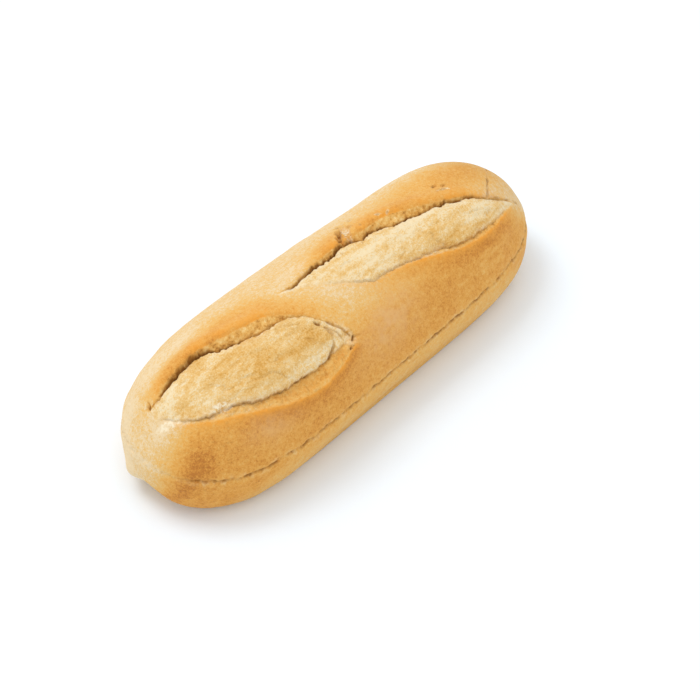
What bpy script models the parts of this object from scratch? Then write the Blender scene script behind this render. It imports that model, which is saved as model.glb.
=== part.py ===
"""A short half baguette with two slashes, baked in one piece, lying on its flat base.

The crust is one closed solid. It starts as a ball whose poles are the two ends of the
loaf, and every point of the ball is carried to the loaf: the rings of the ball become
cross sections along X, and the turn around the ball becomes the way around a section.
The two burst slashes and the crease along the side are then raised or sunk in the crust.
"""

import math
from collections import namedtuple

import bmesh
import bpy
import numpy as np

# Driving dimensions, in metres. X runs along the loaf, Z up, and the base lies on Z = 0.
LENGTH = 0.210
WIDTH = 0.0720
HEIGHT = 0.0515
WAIST = 0.0140          # height at which a section is widest
BASE_ROUND = 0.0145     # roundness of the lower edge, where the side turns under the loaf
BASE_SINK = 0.0006      # dough pressed flat against the tray
TAPER = 0.034           # how much narrower the +X end is than the middle, as a share

# How full each outline stays towards the ends: (power, root) of (1 - |t|^power)^(1/root).
PLAN_END = (5.1, 1.67)
CREST_END = (5.5, 1.89)
KEEL_END = (9.0, 2.0)
SHOULDER = 2.15         # roundness of the upper half of a section, 2 is an ellipse

# Slashes, laid out on the crust: X along the loaf, V around it from the crest, far side
# positive. The leaf between the edges is where the crumb has burst up.
Slash = namedtuple("Slash", "x v half_length yaw far_width near_width rise")
SLASHES = (
    Slash(x=-0.0557, v=-0.0130, half_length=0.0415, yaw=-21.2,
          far_width=0.0144, near_width=0.0142, rise=0.0034),
    Slash(x=0.0295, v=-0.0085, half_length=0.0579, yaw=-12.5,
          far_width=0.0065, near_width=0.0108, rise=0.0026),
)
EDGE_LIFT = 0.0020      # torn crust stands up along both edges of a slash
EDGE_SPREAD = 0.0040
GAP_DEPTH = 0.0034      # crack between the far edge and the burst crumb
GAP_SPREAD = 0.0042

CREASE_HEIGHT = 0.0200  # crease along the side, above the base
CREASE_CLIMB = 0.022    # rise of the crease per metre towards +X
CREASE_DEPTH = 0.0010
CREASE_SPREAD = 0.0026

COLUMNS = 66            # points around a section
RINGS = 72              # sections from end to end
SIDE_SHARE = 0.89       # share of the columns above the flat base
SECTION_STEPS = 240     # fineness with which a section is measured


def clear_scene():
    """Remove every object, so that the script builds the same thing each time."""
    for item in list(bpy.data.objects):
        bpy.data.objects.remove(item, do_unlink=True)


def fullness(t, end):
    """Share of a full-size outline left at t, where t is -1 and 1 at the two ends."""
    power, root = end
    return max(0.0, 1.0 - abs(t) ** power) ** (1.0 / root)


def half_section(t):
    """One side of a cross section, from the crest down to the middle of the base.

    Returns three arrays: the distance from the middle plane, the height, and the length
    measured along the crust from the crest. The last value is where the base begins.
    """
    half_width = 0.5 * WIDTH * fullness(t, PLAN_END) * (1.0 - TAPER * t)
    crown = (HEIGHT - WAIST) * fullness(t, CREST_END)
    keel = (WAIST + BASE_SINK) * fullness(t, KEEL_END)
    base_half = half_width * half_width / (half_width + BASE_ROUND)

    turn = np.linspace(0.0, 0.5 * math.pi, SECTION_STEPS)
    exponent = 2.0 / SHOULDER
    upper_y = half_width * np.sin(turn) ** exponent
    upper_z = WAIST + crown * np.cos(turn) ** exponent
    lower_y = base_half + (half_width - base_half) * np.cos(turn)
    lower_z = WAIST - keel * np.sin(turn)

    y = np.concatenate([upper_y, lower_y[1:], [0.0]])
    z = np.concatenate([upper_z, lower_z[1:], [lower_z[-1]]])
    z = np.maximum(z, 0.0)
    along = np.concatenate([[0.0], np.cumsum(np.hypot(np.diff(y), np.diff(z)))])
    return y, z, along


def ring_stations():
    """X of each ring, from end to end, evenly spaced along the plan outline."""
    t = np.sin(np.linspace(-0.5 * math.pi, 0.5 * math.pi, 4000))
    x = 0.5 * LENGTH * t
    half_width = np.array([0.5 * WIDTH * fullness(value, PLAN_END) for value in t])
    along = np.concatenate([[0.0], np.cumsum(np.hypot(np.diff(x), np.diff(half_width)))])
    return np.interp(np.linspace(0.0, along[-1], RINGS + 1), along, x)


def bump(distance, spread):
    """A smooth hump, 1 at no distance and near 0 beyond twice the spread."""
    return math.exp(-(distance / spread) ** 2)


def slash_relief(slash, x, v):
    """Height that one slash adds to the crust at the place (x, v)."""
    yaw = math.radians(slash.yaw)
    dx = x - slash.x
    dv = v - slash.v
    along = (dx * math.cos(yaw) + dv * math.sin(yaw)) / slash.half_length
    across = dv * math.cos(yaw) - dx * math.sin(yaw)
    if abs(along) >= 1.0:
        return 0.0
    opening = (1.0 - along * along) ** 0.75
    far = slash.far_width * opening
    near = -slash.near_width * opening
    lift = EDGE_LIFT * opening
    relief = lift * bump(across - far - EDGE_SPREAD, EDGE_SPREAD)
    relief += lift * bump(across - near + EDGE_SPREAD, EDGE_SPREAD)
    relief -= GAP_DEPTH * opening * bump(across - far, GAP_SPREAD)
    if near < across < far:
        share = (2.0 * across - far - near) / (far - near)
        relief += slash.rise * opening * (1.0 - share * share)
    return relief


def crease_relief(x, z):
    """Depth of the crease where the lower crust meets the upper, negative inwards."""
    return -CREASE_DEPTH * bump(z - CREASE_HEIGHT - CREASE_CLIMB * x, CREASE_SPREAD)


def section_place(profile, share):
    """Point of a section at a share of the way around, and its distance V from the crest.

    share is 0 at the crest and 1 or -1 in the middle of the base.
    """
    y, z, along = profile
    side_length = along[-2]
    size = abs(share)
    if size < SIDE_SHARE:
        length = side_length * size / SIDE_SHARE
    else:
        length = side_length + (along[-1] - side_length) * (size - SIDE_SHARE) / (1.0 - SIDE_SHARE)
    side = math.copysign(1.0, share)
    return side * np.interp(length, along, y), np.interp(length, along, z), side * length


def loaf_mesh():
    """The whole loaf as one closed mesh, shaped from a ball with its poles on X."""
    bm = bmesh.new()
    bmesh.ops.create_uvsphere(bm, u_segments=COLUMNS, v_segments=RINGS, radius=1.0)
    stations = ring_stations()
    profiles = [half_section(2.0 * x / LENGTH) for x in stations]
    for vert in bm.verts:
        latitude = math.asin(max(-1.0, min(1.0, vert.co.z)))
        ring = round(RINGS * (latitude / math.pi + 0.5))
        share = math.atan2(-vert.co.y, vert.co.x) / math.pi
        x = stations[ring]
        y, z, v = section_place(profiles[ring], share)
        relief = sum(slash_relief(slash, x, v) for slash in SLASHES)
        relief += crease_relief(x, z)
        reach = max(math.hypot(y, z - WAIST), 1e-6)
        if z > 0.0:
            y += relief * y / reach
            z += relief * (z - WAIST) / reach
        vert.co = (x, y, z)
    centre_on_base(bm)
    mesh = bpy.data.meshes.new("loaf")
    bm.to_mesh(mesh)
    bm.free()
    mesh.shade_smooth()
    return mesh


def centre_on_base(bm):
    """Put the origin in the middle of the footprint, on the base."""
    low = [min(vert.co[axis] for vert in bm.verts) for axis in range(3)]
    high = [max(vert.co[axis] for vert in bm.verts) for axis in range(3)]
    shift = (-(low[0] + high[0]) / 2.0, -(low[1] + high[1]) / 2.0, -low[2])
    bmesh.ops.translate(bm, verts=bm.verts, vec=shift)


def crust_material():
    """Pale golden crust, dry and matt."""
    material = bpy.data.materials.new("crust")
    material.use_nodes = True
    shader = material.node_tree.nodes["Principled BSDF"]
    shader.inputs["Base Color"].default_value = (0.72, 0.42, 0.16, 1.0)
    shader.inputs["Roughness"].default_value = 0.7
    shader.inputs["Metallic"].default_value = 0.0
    return material


def build():
    """Make the loaf in its own collection."""
    clear_scene()
    collection = bpy.data.collections.new("baguette")
    bpy.context.scene.collection.children.link(collection)
    mesh = loaf_mesh()
    mesh.materials.append(crust_material())
    collection.objects.link(bpy.data.objects.new("loaf", mesh))


build()
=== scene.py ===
"""Looks of a short half baguette with two burst slashes, resting on a pale table.

The crust is modelled as one closed piece: a ball is refined where the crust is torn,
carried to the loaf's outline and then sculpted. What the oven did to each place of the
crust, and the shade or light painted on some places, is kept in named attributes, which
the finish turns into colour and relief.
"""

import logging
import math
from dataclasses import dataclass, field
from enum import Enum
from typing import ClassVar

import bpy
import numpy as np
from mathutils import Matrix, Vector


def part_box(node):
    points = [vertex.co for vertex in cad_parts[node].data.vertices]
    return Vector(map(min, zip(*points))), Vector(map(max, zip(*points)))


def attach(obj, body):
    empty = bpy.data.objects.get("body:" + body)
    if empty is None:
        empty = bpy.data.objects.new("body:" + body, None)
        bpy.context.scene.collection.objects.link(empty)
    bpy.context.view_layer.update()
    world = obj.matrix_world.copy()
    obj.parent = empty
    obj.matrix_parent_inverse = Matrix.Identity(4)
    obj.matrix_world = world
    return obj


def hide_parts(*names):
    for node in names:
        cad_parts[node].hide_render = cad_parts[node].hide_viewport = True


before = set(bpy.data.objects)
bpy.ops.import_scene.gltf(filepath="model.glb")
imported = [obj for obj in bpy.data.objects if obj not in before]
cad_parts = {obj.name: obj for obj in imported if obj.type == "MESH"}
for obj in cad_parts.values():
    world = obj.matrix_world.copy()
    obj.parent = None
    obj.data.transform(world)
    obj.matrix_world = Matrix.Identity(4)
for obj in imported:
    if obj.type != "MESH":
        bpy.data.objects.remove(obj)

LOG = logging.getLogger("baguette")
NODE = "loaf"
BODY = "root"
MM = 0.001

Socket = bpy.types.NodeSocket
Colour = tuple[float, float, float]
Value = Socket | Colour | float
Stops = tuple[tuple[float, Colour], ...]


class Bake(Enum):
    """What the oven did to a place of the crust, and where shade or light is painted on it.

    Browning adds up from several causes. The others are shares from 0 to 1.
    """

    HEAT = "browning"    # how brown the crust is, from cream to dark, with painted shade on the near side and painted light on the far side and the lips' inner faces
    AMBER = "amber"      # bright edge that caught the heat
    BLOOM = "bloom"      # burst crumb that dried in the oven
    TEAR = "tear"        # torn wall between crust and crumb
    GAP = "gap"          # deep, dark crack: partly its own darker crumb, partly painted shade; also painted shade over the +X end
    CREASE = "crease"    # line along the side
    BLISTER = "blister"  # crust covered in small blisters
    BLUSH = "blush"      # dull, rosy patch
    FLOUR = "flour"      # white dusted crumb


@dataclass(frozen=True)
class Grain:
    """Repeatable noise in space, the same on each run."""

    seed: int
    steps: ClassVar[tuple[int, ...]] = (374761393, 668265263, 2147483647)   # one for each axis
    mixers: ClassVar[tuple[int, ...]] = (1274126177, 2246822519)
    largest: ClassVar[int] = 4294967295

    def _lattice(self, ix: np.ndarray, iy: np.ndarray, iz: np.ndarray) -> np.ndarray:
        """Give each whole-number place its own value.

        Args:
            ix, iy, iz: Whole-number coordinates.

        Returns:
            Values from 0 to 1.
        """
        first, second = (np.uint32(mixer) for mixer in self.mixers)
        mixed = np.uint32(self.seed * self.mixers[0] % self.largest)
        for whole, step in zip((ix, iy, iz), self.steps):
            mixed = mixed + whole.astype(np.uint32) * np.uint32(step)
        mixed = (mixed ^ (mixed >> np.uint32(13))) * first
        mixed = (mixed ^ (mixed >> np.uint32(16))) * second
        mixed = mixed ^ (mixed >> np.uint32(15))
        return mixed.astype(np.float64) / self.largest

    def smooth(self, points: np.ndarray, size: float) -> np.ndarray:
        """Soft noise whose lumps are about one size apart.

        Args:
            points: Rows of three coordinates.
            size: Distance between lumps, in the units of the points.

        Returns:
            One value from -1 to 1 for each point.
        """
        scaled = points / size
        cell = np.floor(scaled)
        part = scaled - cell
        fade = part * part * part * (part * (part * 6.0 - 15.0) + 10.0)
        cell = cell.astype(np.int64)
        total = np.zeros(len(points))
        for dx in (0, 1):
            for dy in (0, 1):
                for dz in (0, 1):
                    weight = (np.abs(1 - dx - fade[:, 0]) * np.abs(1 - dy - fade[:, 1])
                              * np.abs(1 - dz - fade[:, 2]))
                    total += weight * self._lattice(cell[:, 0] + dx, cell[:, 1] + dy, cell[:, 2] + dz)
        return 2.0 * total - 1.0

    def layered(self, points: np.ndarray, size: float, layers: int) -> np.ndarray:
        """Soft noise with finer noise on it.

        Args:
            points: Rows of three coordinates.
            size: Distance between the largest lumps.
            layers: How many times finer noise of half the size is added.

        Returns:
            One value from about -1 to 1 for each point.
        """
        total = np.zeros(len(points))
        reach = 0.0
        for layer in range(layers):
            strength = 0.5 ** layer
            total += strength * self.smooth(points + 17.3 * layer, size * strength)
            reach += strength
        return total / reach

    def along_line(self, place: np.ndarray, size: float, layers: int = 3) -> np.ndarray:
        """Layered noise along a line, for ragged edges.

        Args:
            place: Distance along the line.
            size: Distance between the largest waves.
            layers: Number of layers.

        Returns:
            One value from about -1 to 1 for each place.
        """
        aside = [np.full_like(place, share * size) for share in (0.37, 0.71)]
        return self.layered(np.stack([place, *aside], axis=1), size, layers)


def ease(value: np.ndarray) -> np.ndarray:
    """Rise smoothly from 0 to 1 while the value goes from 0 to 1.

    Args:
        value: Any numbers.

    Returns:
        Values from 0 to 1.
    """
    value = np.clip(value, 0.0, 1.0)
    return value * value * (3.0 - 2.0 * value)


def dome(value: np.ndarray) -> np.ndarray:
    """Rise like a quarter circle from 0 to 1 while the value goes from 0 to 1.

    Args:
        value: Any numbers.

    Returns:
        Values from 0 to 1.
    """
    value = np.clip(value, 0.0, 1.0)
    return np.sqrt(1.0 - (1.0 - value) ** 2)


def hump(distance: np.ndarray, spread: float) -> np.ndarray:
    """Make a soft hump, 1 at no distance."""
    return np.exp(-(distance / spread) ** 2)


def through(values: tuple[float, ...], share: np.ndarray) -> np.ndarray:
    """Smooth curve through evenly spaced values.

    Args:
        values: Values at even steps from -1 to 1.
        share: Where to read the curve, from -1 to 1.

    Returns:
        One value for each share.
    """
    knots = np.asarray(values, dtype=float)
    last = len(knots) - 1
    place = np.clip((share + 1.0) * 0.5, 0.0, 1.0) * last
    start = np.clip(np.floor(place).astype(int), 0, last - 1)
    part = place - start
    before = knots[np.clip(start - 1, 0, last)]
    here = knots[start]
    there = knots[start + 1]
    after = knots[np.clip(start + 2, 0, last)]
    return 0.5 * (2.0 * here + (there - before) * part
                  + (2.0 * before - 5.0 * here + 4.0 * there - after) * part ** 2
                  + (3.0 * here - before - 3.0 * there + after) * part ** 3)


def turned(x: np.ndarray, v: np.ndarray, middle_x: float, middle_v: float,
           yaw: float) -> tuple[np.ndarray, np.ndarray]:
    """Turn places on the crust to the directions of a mark.

    Args:
        x: Distance along the loaf, metres.
        v: Distance around the section, metres.
        middle_x: X of the mark's middle, millimetres.
        middle_v: V of the mark's middle, millimetres.
        yaw: The mark's turn from X towards the far side, degrees.

    Returns:
        Millimetres along the mark, and across it.
    """
    turn = math.radians(yaw)
    dx = x / MM - middle_x
    dv = v / MM - middle_v
    return dx * math.cos(turn) + dv * math.sin(turn), dv * math.cos(turn) - dx * math.sin(turn)


@dataclass(frozen=True)
class LoafForm:
    """Outline of the loaf before anything tears it.

    A place on the crust is given as X along the loaf and V, the distance around the
    section from the crest, positive on the far side.
    """

    length: float
    width: float
    height: float
    waist_share: float = 0.272        # height of the widest line, as a share of the height
    edge_round: float = 0.201         # roundness of the lower edge, as a share of the width
    sink_share: float = 0.0116        # how far the dough is pressed flat
    taper: float = 0.034              # how much narrower the +X end is
    plan_end: tuple[float, float] = (5.1, 1.67)
    crest_end: tuple[float, float] = (5.5, 1.89)
    keel_end: tuple[float, float] = (9.0, 2.0)
    shoulder: float = 2.15
    side_share: float = 0.87          # share of the turn above the flat base
    slim: float = 0.992               # share of the frame's width, since the slashes swell
    low: float = 0.9656               # share of the frame's height, for the same reason

    @classmethod
    def from_frame(cls) -> "LoafForm":
        """Take the loaf's size from the frame.

        Returns:
            The form whose torn crust fills the frame's box.
        """
        low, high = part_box(NODE)
        size = high - low
        return cls(length=size.x, width=cls.slim * size.y, height=cls.low * size.z)

    @staticmethod
    def _fullness(t: np.ndarray, end: tuple[float, float]) -> np.ndarray:
        """Work out the share of a full-size outline that is left near the ends.

        Args:
            t: Place along the loaf, from -1 to 1.
            end: Power and root that shape the ends.

        Returns:
            Share from 0 at the ends to 1.
        """
        power, root = end
        return np.clip(1.0 - np.abs(t) ** power, 0.0, None) ** (1.0 / root)

    def _half_section(self, t: float,
                      steps: int = 240) -> tuple[np.ndarray, np.ndarray, np.ndarray]:
        """Measure one side of a cross section from the crest to the middle of the base.

        Args:
            t: Place along the loaf, from -1 to 1.
            steps: Fineness of the upper and of the lower part.

        Returns:
            Distance from the middle plane, height, and length around from the crest.
        """
        waist = self.waist_share * self.height
        half_width = 0.5 * self.width * self._fullness(t, self.plan_end) * (1.0 - self.taper * t)
        crown = (self.height - waist) * self._fullness(t, self.crest_end)
        keel = (waist + self.sink_share * self.height) * self._fullness(t, self.keel_end)
        base_half = half_width ** 2 / (half_width + self.edge_round * self.width)
        turn = np.linspace(0.0, 0.5 * math.pi, steps)
        exponent = 2.0 / self.shoulder
        upper_y = half_width * np.sin(turn) ** exponent
        upper_z = waist + crown * np.cos(turn) ** exponent
        lower_y = base_half + (half_width - base_half) * np.cos(turn[1:])
        lower_z = waist - keel * np.sin(turn[1:])
        y = np.concatenate([upper_y, lower_y, [0.0]])
        z = np.maximum(np.concatenate([upper_z, lower_z, [lower_z[-1]]]), 0.0)
        around = np.concatenate([[0.0], np.cumsum(np.hypot(np.diff(y), np.diff(z)))])
        return y, z, around

    def _stations(self, count: int, steps: int = 6000) -> np.ndarray:
        """Space places evenly along the plan outline, from end to end.

        Args:
            count: How many places.
            steps: Fineness with which the outline is measured.

        Returns:
            X of each place, metres.
        """
        t = np.sin(np.linspace(-0.5 * math.pi, 0.5 * math.pi, steps))
        x = 0.5 * self.length * t
        half_width = 0.5 * self.width * self._fullness(t, self.plan_end)
        along = np.concatenate([[0.0], np.cumsum(np.hypot(np.diff(x), np.diff(half_width)))])
        return np.interp(np.linspace(0.0, along[-1], count), along, x)

    def chart(self, rows: int = 601, columns: int = 361) -> np.ndarray:
        """Work out the loaf at even steps of latitude and of turn.

        Args:
            rows: Steps from one end to the other.
            columns: Steps from the crest to the middle of the base.

        Returns:
            An array of rows by columns by four: X, Y, Z and V.
        """
        share = np.linspace(0.0, 1.0, columns)
        chart = np.zeros((rows, columns, 4))
        for row, x in enumerate(self._stations(rows)):
            y, z, around = self._half_section(2.0 * x / self.length)
            side, whole = around[-2], around[-1]
            above = side * share / self.side_share
            below = side + (whole - side) * (share - self.side_share) / (1.0 - self.side_share)
            v = np.where(share < self.side_share, above, below)
            chart[row] = np.stack([np.full_like(v, x), np.interp(v, around, y),
                                   np.interp(v, around, z), v], axis=1)
        return chart

    @staticmethod
    def carry(chart: np.ndarray, ball: np.ndarray) -> tuple[np.ndarray, np.ndarray]:
        """Carry points of a ball, whose poles are on X, to the loaf.

        Args:
            chart: The loaf's chart.
            ball: Rows of points on or near the unit ball.

        Returns:
            The points on the loaf, and V of each.
        """
        unit = ball / np.linalg.norm(ball, axis=1, keepdims=True)
        rows, columns, _ = chart.shape
        row = (np.arcsin(np.clip(unit[:, 0], -1.0, 1.0)) / math.pi + 0.5) * (rows - 1)
        turn = np.arctan2(unit[:, 1], unit[:, 2])
        column = np.abs(turn) / math.pi * (columns - 1)
        r0 = np.clip(np.floor(row).astype(int), 0, rows - 2)
        c0 = np.clip(np.floor(column).astype(int), 0, columns - 2)
        fr = (row - r0)[:, None]
        fc = (column - c0)[:, None]
        place = ((chart[r0, c0] * (1.0 - fr) + chart[r0 + 1, c0] * fr) * (1.0 - fc)
                 + (chart[r0, c0 + 1] * (1.0 - fr) + chart[r0 + 1, c0 + 1] * fr) * fc)
        side = np.where(turn < 0.0, -1.0, 1.0)
        points = place[:, :3].copy()
        points[:, 1] *= side
        return points, place[:, 3] * side


@dataclass
class Relief:
    """Height added to the crust, what the oven did and the painted shade and light, for many places at
    once.
    """

    height: np.ndarray
    masks: dict[Bake, np.ndarray] = field(default_factory=dict)

    @classmethod
    def flat(cls, count: int) -> "Relief":
        """Start with no height and no marks."""
        return cls(np.zeros(count), {bake: np.zeros(count) for bake in Bake})

    def mark(self, bake: Bake, share: np.ndarray) -> None:
        """Raise one mark to at least the given share, or add to the heat.

        Args:
            bake: Which mark.
            share: Its value at each place.
        """
        if bake is Bake.HEAT:
            self.masks[bake] = self.masks[bake] + share
        else:
            self.masks[bake] = np.maximum(self.masks[bake], np.clip(share, 0.0, 1.0))

    def add(self, other: "Relief") -> None:
        """Add another relief's height and its marks.

        Args:
            other: The relief to add.
        """
        self.height = self.height + other.height
        for bake, share in other.masks.items():
            self.mark(bake, share)


class Lane(Enum):
    """Where each line of a slash starts in the noise, so that no two lines run alike."""

    RIM = 0.0
    GAP = 300.0
    STEPS = 340.0
    CRACK = 600.0
    LIP = 900.0
    SWELL = 1200.0
    GAP_OPEN = 1500.0
    CRACK_OPEN = 1800.0


@dataclass
class SlashLines:
    """Where the lines of a slash pass each place, and how high or deep they are there.

    Lengths are in millimetres, and across is measured from the line between the tips.
    """

    along: np.ndarray                # share of the half length, -1 and 1 at the tips
    across: np.ndarray
    inside: np.ndarray               # along, kept between the tips
    run: np.ndarray                  # distance along the slash
    tip: np.ndarray                  # 1 along the slash, 0 at its tips
    reach: np.ndarray                # 1 along the slash, 0 just past its tips
    rim: np.ndarray
    gap: np.ndarray
    crack: np.ndarray
    lip: np.ndarray
    rim_lift: np.ndarray
    gap_depth: np.ndarray
    crown: np.ndarray
    crack_depth: np.ndarray
    lip_lift: np.ndarray
    gap_open: np.ndarray             # how wide the gap stands open
    crack_open: np.ndarray           # how wide the crack stands open
    torn: np.ndarray                 # grain of torn crumb, from -1 to 1


@dataclass(frozen=True)
class Slash:
    """One slash that burst open, in millimetres at eleven even steps from tip to tip.

    Across positions are measured from the line between the tips, far side positive. From
    the far side to the near side come rolled crust, rim, torn wall, gap, bloom, crack,
    inner face of the lip, and the lip's ridge with the crust that drops away from it.
    """

    x: float
    v: float
    half_length: float
    yaw: float
    seed: int
    rim: tuple[float, ...]           # upper edge of the torn wall on the far side
    gap: tuple[float, ...]           # foot of that wall, where the bloom begins
    crack: tuple[float, ...]         # where the bloom meets the lip
    lip: tuple[float, ...]           # ridge of the lip on the near side
    rim_lift: tuple[float, ...]
    gap_depth: tuple[float, ...]
    crown: tuple[float, ...]
    crack_depth: tuple[float, ...]
    lip_lift: tuple[float, ...]
    melt: tuple[float, ...]          # how softly the bloom runs into the near crust
    fade: float = 0.10               # share of the half length over which the tips fade
    roll_width: float = 13.0         # width of the rolled crust outside the rim
    roll_peak: float = 0.17          # where the roll is highest, in roll widths
    roll_spread: float = 0.40        # how broad its top is, in roll widths
    rounding: float = 0.45           # how far the rim's edge is rounded off
    gap_share: float = 0.6           # share of the gap's depth that wall and bloom reach
    slot_share: float = 0.6          # share of the depths that the narrow slots take
    crack_share: float = 0.4         # share of the crack's depth that the face reaches
    bloom_share: float = 0.5         # share of the crack's depth that the bloom reaches
    wall_grain: float = 0.75         # roughness of the torn wall
    face_grain: float = 1.15         # roughness of the lip's inner face
    flat_crown: float = 0.25         # share of the crown that the bloom's edges keep
    far_turn: float = 2.2            # width over which the bloom turns down to the gap
    near_turn: float = 1.4           # width over which it turns down to the crack
    gap_width: float = 0.42
    crack_width: float = 0.34
    lip_width: float = 8.0           # how far the lip's lift reaches down the side
    soft: float = 0.30               # softness of the edges between crust and crumb
    dust: float = 0.62               # flour on the bloom's edges

    def local(self, x: np.ndarray, v: np.ndarray) -> tuple[np.ndarray, np.ndarray]:
        """Turn places on the crust to the slash's own directions.

        Args:
            x: Distance along the loaf, metres.
            v: Distance around the section, metres.

        Returns:
            Share of the half length along the slash, and millimetres across it.
        """
        along, across = turned(x, v, self.x, self.v, self.yaw)
        return along / self.half_length, across

    def near(self, x: np.ndarray, v: np.ndarray, margin: float) -> np.ndarray:
        """Tell which places are inside the slash or within a margin of it.

        Args:
            x: Distance along the loaf, metres.
            v: Distance around the section, metres.
            margin: Margin in millimetres.

        Returns:
            True for each place that is near.
        """
        along, across = self.local(x, v)
        inside = np.clip(along, -1.0, 1.0)
        past_tip = np.abs(along - inside) * self.half_length
        below_rim = across < through(self.rim, inside) + margin
        above_lip = across > through(self.lip, inside) - margin
        return below_rim & above_lip & (past_tip < margin)

    def relief(self, x: np.ndarray, v: np.ndarray, points: np.ndarray) -> Relief:
        """Shape the slash.

        Args:
            x: Distance along the loaf, metres.
            v: Distance around the section, metres.
            points: The same places in space, metres.

        Returns:
            Height in metres and marks.
        """
        space = points / MM
        lines = self._lines(x, v, space)
        return Relief(self._height(lines, space) * lines.reach * MM, self._marks(lines, space))

    def _lines(self, x: np.ndarray, v: np.ndarray, space: np.ndarray) -> SlashLines:
        """Lay out the slash's ragged lines.

        Args:
            x: Distance along the loaf, metres.
            v: Distance around the section, metres.
            space: The same places in space, millimetres.

        Returns:
            The lines, as they pass each place.
        """
        along, across = self.local(x, v)
        inside = np.clip(along, -1.0, 1.0)
        tip = ease((1.0 - np.abs(along)) / self.fade)
        reach = ease(1.0 - (np.abs(along) - 1.0) / self.fade)
        run = along * self.half_length
        grain = Grain(self.seed)

        rim = through(self.rim, inside) + tip * self._ragged(run, Lane.RIM, broad=0.65, fine=0.40)
        steps = 1.2 * np.tanh(2.5 * grain.along_line(run + Lane.STEPS.value, 9.0, 2))
        ragged_gap = steps + self._ragged(run, Lane.GAP, broad=1.0, fine=0.8)
        gap = np.minimum(through(self.gap, inside) + tip * ragged_gap, rim - 0.5)
        crack = through(self.crack, inside) + tip * self._ragged(run, Lane.CRACK, broad=1.1, fine=0.8)
        lip = through(self.lip, inside) + tip * self._ragged(run, Lane.LIP, broad=0.35, fine=0.12)
        swell = 1.0 + 0.22 * grain.along_line(run + Lane.SWELL.value, 9.0, 2)
        gap_open = 0.80 + 0.9 * grain.along_line(run + Lane.GAP_OPEN.value, 5.0, 2)
        crack_open = 0.6 + 0.9 * grain.along_line(run + Lane.CRACK_OPEN.value, 5.0, 2)
        return SlashLines(
            along=along, across=across, inside=inside, run=run, tip=tip, reach=reach,
            rim=rim, gap=gap, crack=crack, lip=np.minimum(lip, crack - 0.6),
            rim_lift=through(self.rim_lift, inside) * reach * swell,
            gap_depth=through(self.gap_depth, inside) * tip,
            crown=through(self.crown, inside) * reach,
            crack_depth=through(self.crack_depth, inside) * tip,
            lip_lift=through(self.lip_lift, inside) * reach,
            gap_open=np.clip(gap_open, 0.25, 1.3),
            crack_open=np.clip(crack_open, 0.1, 1.2),
            torn=grain.layered(space + 40.0, 1.9, 3),
        )

    def _ragged(self, run: np.ndarray, lane: Lane, broad: float, fine: float) -> np.ndarray:
        """Ragged line of a tear.

        Args:
            run: Millimetres along the tear.
            lane: Which of the slash's lines it is.
            broad: Strength of the waves of a few millimetres.
            fine: Strength of the small teeth.

        Returns:
            Shift of the line, in millimetres.
        """
        grain = Grain(self.seed)
        place = run + lane.value
        return broad * grain.along_line(place, 6.0, 2) + fine * grain.along_line(place + 77.0, 1.7, 2)

    def _height(self, lines: SlashLines, space: np.ndarray) -> np.ndarray:
        """Join the five strips of the slash and cut its two slots.

        Args:
            lines: The slash's lines.
            space: Places in space, millimetres.

        Returns:
            Height in millimetres.
        """
        height = np.where(lines.across > lines.crack, self._bloom(lines, space), self._lip_side(lines))
        height = np.where(lines.across > lines.gap, self._wall(lines), height)
        height = np.where(lines.across > lines.rim, self._far_side(lines), height)
        slot = (lines.gap_depth * lines.gap_open * hump(lines.across - lines.gap, self.gap_width)
                + lines.crack_depth * lines.crack_open * hump(lines.across - lines.crack, self.crack_width))
        return height - self.slot_share * slot

    def _edge_loss(self, lines: SlashLines) -> np.ndarray:
        """How much lower the rounded edge of the rim is than a sharp one."""
        return self.rounding * lines.tip * np.clip(lines.rim_lift, 0.0, 1.0)

    def _far_side(self, lines: SlashLines) -> np.ndarray:
        """Roll the crust up outside the rim.

        Args:
            lines: The slash's lines.

        Returns:
            Height in millimetres.
        """
        beyond = np.clip(lines.across - lines.rim, 0.0, None)
        roll = hump(beyond / self.roll_width - self.roll_peak, self.roll_spread)
        return lines.rim_lift * roll - self._edge_loss(lines) * hump(beyond, 0.6)

    def _wall(self, lines: SlashLines) -> np.ndarray:
        """Raise the torn wall from the gap to the rim.

        Args:
            lines: The slash's lines.

        Returns:
            Height in millimetres.
        """
        climb = np.clip((lines.across - lines.gap) / np.maximum(lines.rim - lines.gap, 0.3), 0.0, 1.0)
        edge = lines.rim_lift * math.exp(-(self.roll_peak / self.roll_spread) ** 2) - self._edge_loss(lines)
        foot = self.gap_share * lines.gap_depth
        grain = self.wall_grain * lines.torn * np.sin(math.pi * climb)
        return -foot + (edge + foot) * climb ** 0.8 + grain * np.clip(lines.rim - lines.gap, 0.0, 2.0) / 2.0

    def _bloom(self, lines: SlashLines, space: np.ndarray) -> np.ndarray:
        """Swell the burst crumb between gap and crack.

        Args:
            lines: The slash's lines.
            space: Places in space, millimetres.

        Returns:
            Height in millimetres.
        """
        width = np.maximum(lines.gap - lines.crack, 0.5)
        share = np.clip((lines.across - lines.crack) / width, 0.0, 1.0)
        pillow = np.sqrt(np.clip(1.0 - (2.0 * share - 1.0) ** 2, 0.0, 1.0))
        far_edge = 1.0 - dome((lines.gap - lines.across) / self.far_turn)
        near_edge = 1.0 - dome((lines.across - lines.crack) / self.near_turn)
        swollen = lines.crown * (self.flat_crown + (1.0 - self.flat_crown) * pillow)
        height = swollen - self.gap_share * lines.gap_depth * far_edge
        height = height - self.bloom_share * lines.crack_depth * near_edge
        return height + lines.tip * self._dough(lines, space) * (1.0 - 0.7 * far_edge)

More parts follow.
